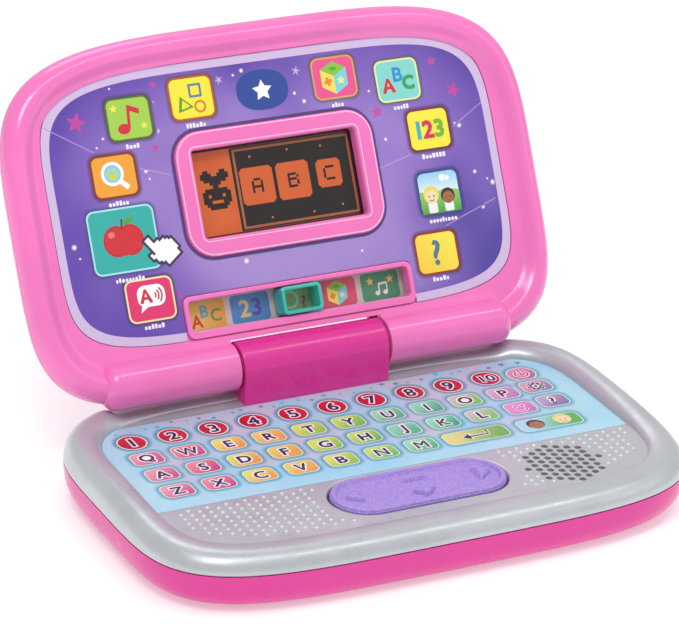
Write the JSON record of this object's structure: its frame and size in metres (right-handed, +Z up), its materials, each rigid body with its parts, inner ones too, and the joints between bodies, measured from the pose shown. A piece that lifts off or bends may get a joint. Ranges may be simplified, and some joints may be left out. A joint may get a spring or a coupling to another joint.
{
  "type": "toy laptop computer",
  "caption": "Child's clamshell toy computer: printed keyboard, rocking cursor pad and speaker in the base, picture panel, small screen and sliding selector in the lid.",
  "frame": {"origin": "middle of the base's flat underside, one foot height above the table", "axes": "+X to the right along the hinge, +Y from the front edge to the hinge, +Z up"},
  "size_m": [0.25, 0.2204, 0.1683],
  "materials": {
    "pink_plastic": "glossy moulded plastic",
    "magenta_plastic": "glossy moulded plastic",
    "silver_paint": "fine metallic satin paint on plastic",
    "printed_film": "printed film, satin",
    "purple_plastic": "pearl plastic",
    "printed_panel": "printed label, glossy",
    "turquoise_plastic": "glossy moulded plastic",
    "printed_card": "printed card, satin",
    "display": "liquid crystal display behind clear plastic",
    "film_sheet": "clear polyester film",
    "circuit_board": "solder mask",
    "steel": "plated steel",
    "rubber": "matt rubber",
    "black_plastic": "matt moulded plastic",
    "paper_cone": "pressed paper",
    "cell_wrap": "plastic sleeve",
    "wire_insulation": "flexible insulation"
  },
  "bodies": {
    "base": {"base_bottom_shell": "magenta_plastic", "base_top_shell": "silver_paint", "keyboard_overlay": "printed_film", "key_spacer_sheet": "film_sheet", "key_contact_sheet": "film_sheet", "base_screw_1": "steel", "base_screw_2": "steel", "base_screw_3": "steel", "base_screw_4": "steel", "base_screw_5": "steel", "base_screw_6": "steel", "rubber_foot_1": "rubber", "rubber_foot_2": "rubber", "rubber_foot_3": "rubber", "rubber_foot_4": "rubber", "battery_cell_back": "cell_wrap", "battery_cell_front": "cell_wrap", "battery_spring_back": "steel", "battery_spring_front": "steel", "battery_contact_left": "steel", "battery_contact_right": "steel", "battery_door": "magenta_plastic", "battery_door_screw": "steel", "main_circuit_board": "circuit_board", "wire_loom": "wire_insulation", "pad_switch_dome": "rubber", "speaker_frame": "steel", "speaker_cone": "paper_cone", "speaker_magnet": "steel", "hinge_block": "magenta_plastic", "hinge_pin_left": "steel", "hinge_pin_right": "steel", "hinge_washer_left": "steel", "hinge_washer_right": "steel"},
    "pad_rocker": {"cursor_pad_pivot": "black_plastic"},
    "pad": {"cursor_pad": "purple_plastic"},
    "lid": {"lid_front_bezel": "pink_plastic", "lid_back_shell": "pink_plastic", "lid_picture_panel": "printed_panel", "screen_border": "pink_plastic", "lcd_glass": "display", "lcd_holder": "black_plastic", "lcd_board": "circuit_board", "screen_ribbon_cable": "wire_insulation", "mode_card": "printed_card", "mode_switch_board": "circuit_board", "lid_screw_1": "steel", "lid_screw_2": "steel", "lid_screw_3": "steel", "lid_screw_4": "steel"},
    "selector": {"mode_slider": "turquoise_plastic"}
  },
  "joints": [
    {"name": "lid_hinge", "type": "hinge", "parent": "base", "child": "lid", "pos_m": [0, 0.0665, 0.0375], "axis": [1, 0, 0], "range_deg": [0, 117.7]},
    {"name": "mode_slide", "type": "slide", "parent": "lid", "child": "selector", "axis": [1, 0, 0], "range_m": [-0.0418, 0.0418]},
    {"name": "pad_side_tilt", "type": "hinge", "parent": "base", "child": "pad_rocker", "pos_m": [0, -0.039, 0.018], "axis": [0, 1, 0], "range_deg": [-1.5, 1.5], "stiffness_Nm_per_rad": 3},
    {"name": "pad_front_tilt", "type": "hinge", "parent": "pad_rocker", "child": "pad", "pos_m": [0, -0.039, 0.018], "axis": [1, 0, 0], "range_deg": [-3.5, 3.5], "stiffness_Nm_per_rad": 0.5}
  ]
}
